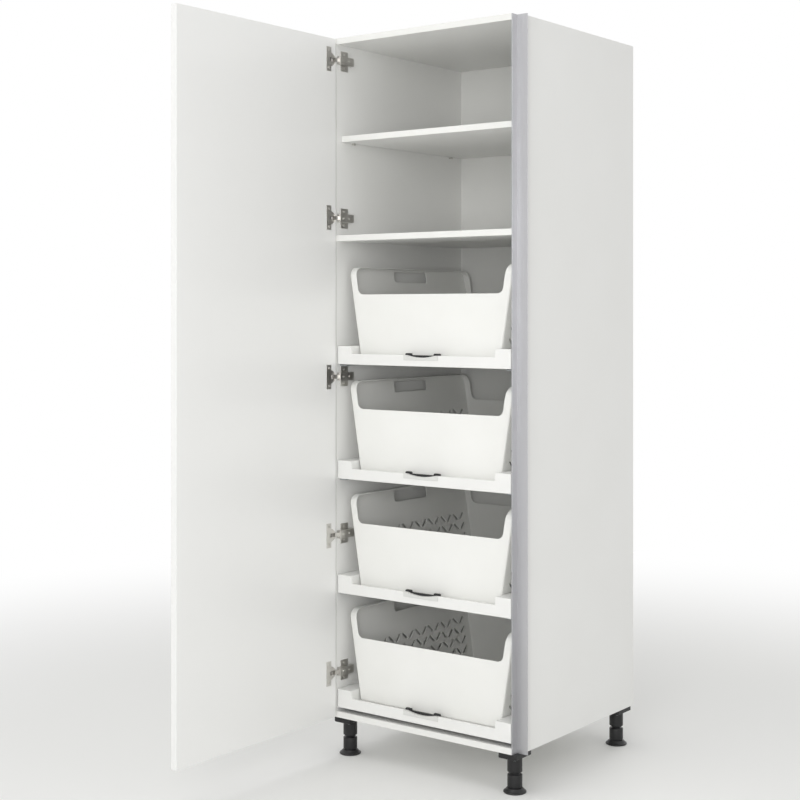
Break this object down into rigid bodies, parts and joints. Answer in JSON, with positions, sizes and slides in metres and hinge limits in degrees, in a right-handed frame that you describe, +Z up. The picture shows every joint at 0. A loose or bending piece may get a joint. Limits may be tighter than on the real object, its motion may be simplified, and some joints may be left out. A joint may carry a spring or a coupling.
{
  "type": "tall utility cabinet",
  "caption": "Tall utility cabinet on levelling feet with a hinged door, shelves above and inner pull-out trays that carry laundry baskets.",
  "frame": {"origin": "on the floor under the middle of the carcass", "axes": "+Z up, +X to the cabinet's right as seen from its front, +Y to its back; the front faces -Y"},
  "size_m": [0.619, 1.2005, 1.955],
  "materials": {
    "white_board": "white melamine-faced chipboard, satin",
    "white_back": "white coated fibreboard, satin",
    "white_front": "white lacquered board, satin",
    "grip_grey": "light grey anodised, matt",
    "nickel_steel": "nickel plated",
    "zinc_steel": "zinc plated",
    "white_tray": "moulded, fine grain",
    "black_catch": "moulded, matt",
    "white_basket": "moulded, satin",
    "black_foot": "moulded, matt",
    "beech": "plain beech"
  },
  "bodies": {
    "carcass": {"left_side_panel": "white_board", "right_side_panel": "white_board", "bottom_panel": "white_board", "fixed_shelf": "white_board", "top_panel": "white_board", "adjustable_shelf": "white_board", "back_panel": "white_back", "grip_profile": "grip_grey", "dowels": "beech", "shelf_pegs": "nickel_steel", "hinge_arms": "nickel_steel", "hinge_plates": "nickel_steel", "foot_sockets": "black_foot", "runner_cabinet_rails_1": "zinc_steel", "runner_cabinet_rails_2": "zinc_steel", "runner_cabinet_rails_3": "zinc_steel", "runner_cabinet_rails_4": "zinc_steel"},
    "door": {"door_panel": "white_front", "hinge_cups": "nickel_steel", "hinge_pins": "nickel_steel"},
    "middle_runner_1": {"runner_middle_rails_1": "zinc_steel"},
    "pull_out_1": {"tray_1": "white_tray", "tray_catch_1": "white_tray", "catch_bar_1": "black_catch", "runner_tray_rails_1": "zinc_steel"},
    "laundry_basket_1": {"basket_1": "white_basket"},
    "middle_runner_2": {"runner_middle_rails_2": "zinc_steel"},
    "pull_out_2": {"tray_2": "white_tray", "tray_catch_2": "white_tray", "catch_bar_2": "black_catch", "runner_tray_rails_2": "zinc_steel"},
    "laundry_basket_2": {"basket_2": "white_basket"},
    "middle_runner_3": {"runner_middle_rails_3": "zinc_steel"},
    "pull_out_3": {"tray_3": "white_tray", "tray_catch_3": "white_tray", "catch_bar_3": "black_catch", "runner_tray_rails_3": "zinc_steel"},
    "laundry_basket_3": {"basket_3": "white_basket"},
    "middle_runner_4": {"runner_middle_rails_4": "zinc_steel"},
    "pull_out_4": {"tray_4": "white_tray", "tray_catch_4": "white_tray", "catch_bar_4": "black_catch", "runner_tray_rails_4": "zinc_steel"},
    "laundry_basket_4": {"basket_4": "white_basket"},
    "foot_1": {"foot_adjuster_1": "black_foot"},
    "foot_2": {"foot_adjuster_2": "black_foot"},
    "foot_3": {"foot_adjuster_3": "black_foot"},
    "foot_4": {"foot_adjuster_4": "black_foot"}
  },
  "joints": [
    {"name": "door_swing", "type": "hinge", "parent": "carcass", "child": "door", "pos_m": [-0.2905, -0.3115, 1.03], "axis": [0, 0, -1], "range_deg": [-90, 15]},
    {"name": "tray_1_slide", "type": "slide", "parent": "carcass", "child": "pull_out_1", "axis": [0, -1, 0], "range_m": [0, 0.5]},
    {"name": "middle_rails_1_slide", "type": "slide", "parent": "carcass", "child": "middle_runner_1", "axis": [0, -1, 0], "range_m": [0, 0.25]},
    {"name": "basket_1_lift", "type": "slide", "parent": "pull_out_1", "child": "laundry_basket_1", "axis": [0, 0, 1], "range_m": [0, 0.03]},
    {"name": "tray_2_slide", "type": "slide", "parent": "carcass", "child": "pull_out_2", "axis": [0, -1, 0], "range_m": [0, 0.5]},
    {"name": "middle_rails_2_slide", "type": "slide", "parent": "carcass", "child": "middle_runner_2", "axis": [0, -1, 0], "range_m": [0, 0.25]},
    {"name": "basket_2_lift", "type": "slide", "parent": "pull_out_2", "child": "laundry_basket_2", "axis": [0, 0, 1], "range_m": [0, 0.03]},
    {"name": "tray_3_slide", "type": "slide", "parent": "carcass", "child": "pull_out_3", "axis": [0, -1, 0], "range_m": [0, 0.5]},
    {"name": "middle_rails_3_slide", "type": "slide", "parent": "carcass", "child": "middle_runner_3", "axis": [0, -1, 0], "range_m": [0, 0.25]},
    {"name": "basket_3_lift", "type": "slide", "parent": "pull_out_3", "child": "laundry_basket_3", "axis": [0, 0, 1], "range_m": [0, 0.03]},
    {"name": "tray_4_slide", "type": "slide", "parent": "carcass", "child": "pull_out_4", "axis": [0, -1, 0], "range_m": [0, 0.5]},
    {"name": "middle_rails_4_slide", "type": "slide", "parent": "carcass", "child": "middle_runner_4", "axis": [0, -1, 0], "range_m": [0, 0.25]},
    {"name": "basket_4_lift", "type": "slide", "parent": "pull_out_4", "child": "laundry_basket_4", "axis": [0, 0, 1], "range_m": [0, 0.03]},
    {"name": "foot_1_level", "type": "slide", "parent": "carcass", "child": "foot_1", "axis": [0, 0, -1], "range_m": [-0.005, 0.02]},
    {"name": "foot_2_level", "type": "slide", "parent": "carcass", "child": "foot_2", "axis": [0, 0, -1], "range_m": [-0.005, 0.02]},
    {"name": "foot_3_level", "type": "slide", "parent": "carcass", "child": "foot_3", "axis": [0, 0, -1], "range_m": [-0.005, 0.02]},
    {"name": "foot_4_level", "type": "slide", "parent": "carcass", "child": "foot_4", "axis": [0, 0, -1], "range_m": [-0.005, 0.02]}
  ],
  "couplings": [
    {"joint": "middle_rails_1_slide", "follows": "tray_1_slide", "ratio": 0.5},
    {"joint": "middle_rails_2_slide", "follows": "tray_2_slide", "ratio": 0.5},
    {"joint": "middle_rails_3_slide", "follows": "tray_3_slide", "ratio": 0.5},
    {"joint": "middle_rails_4_slide", "follows": "tray_4_slide", "ratio": 0.5}
  ]
}
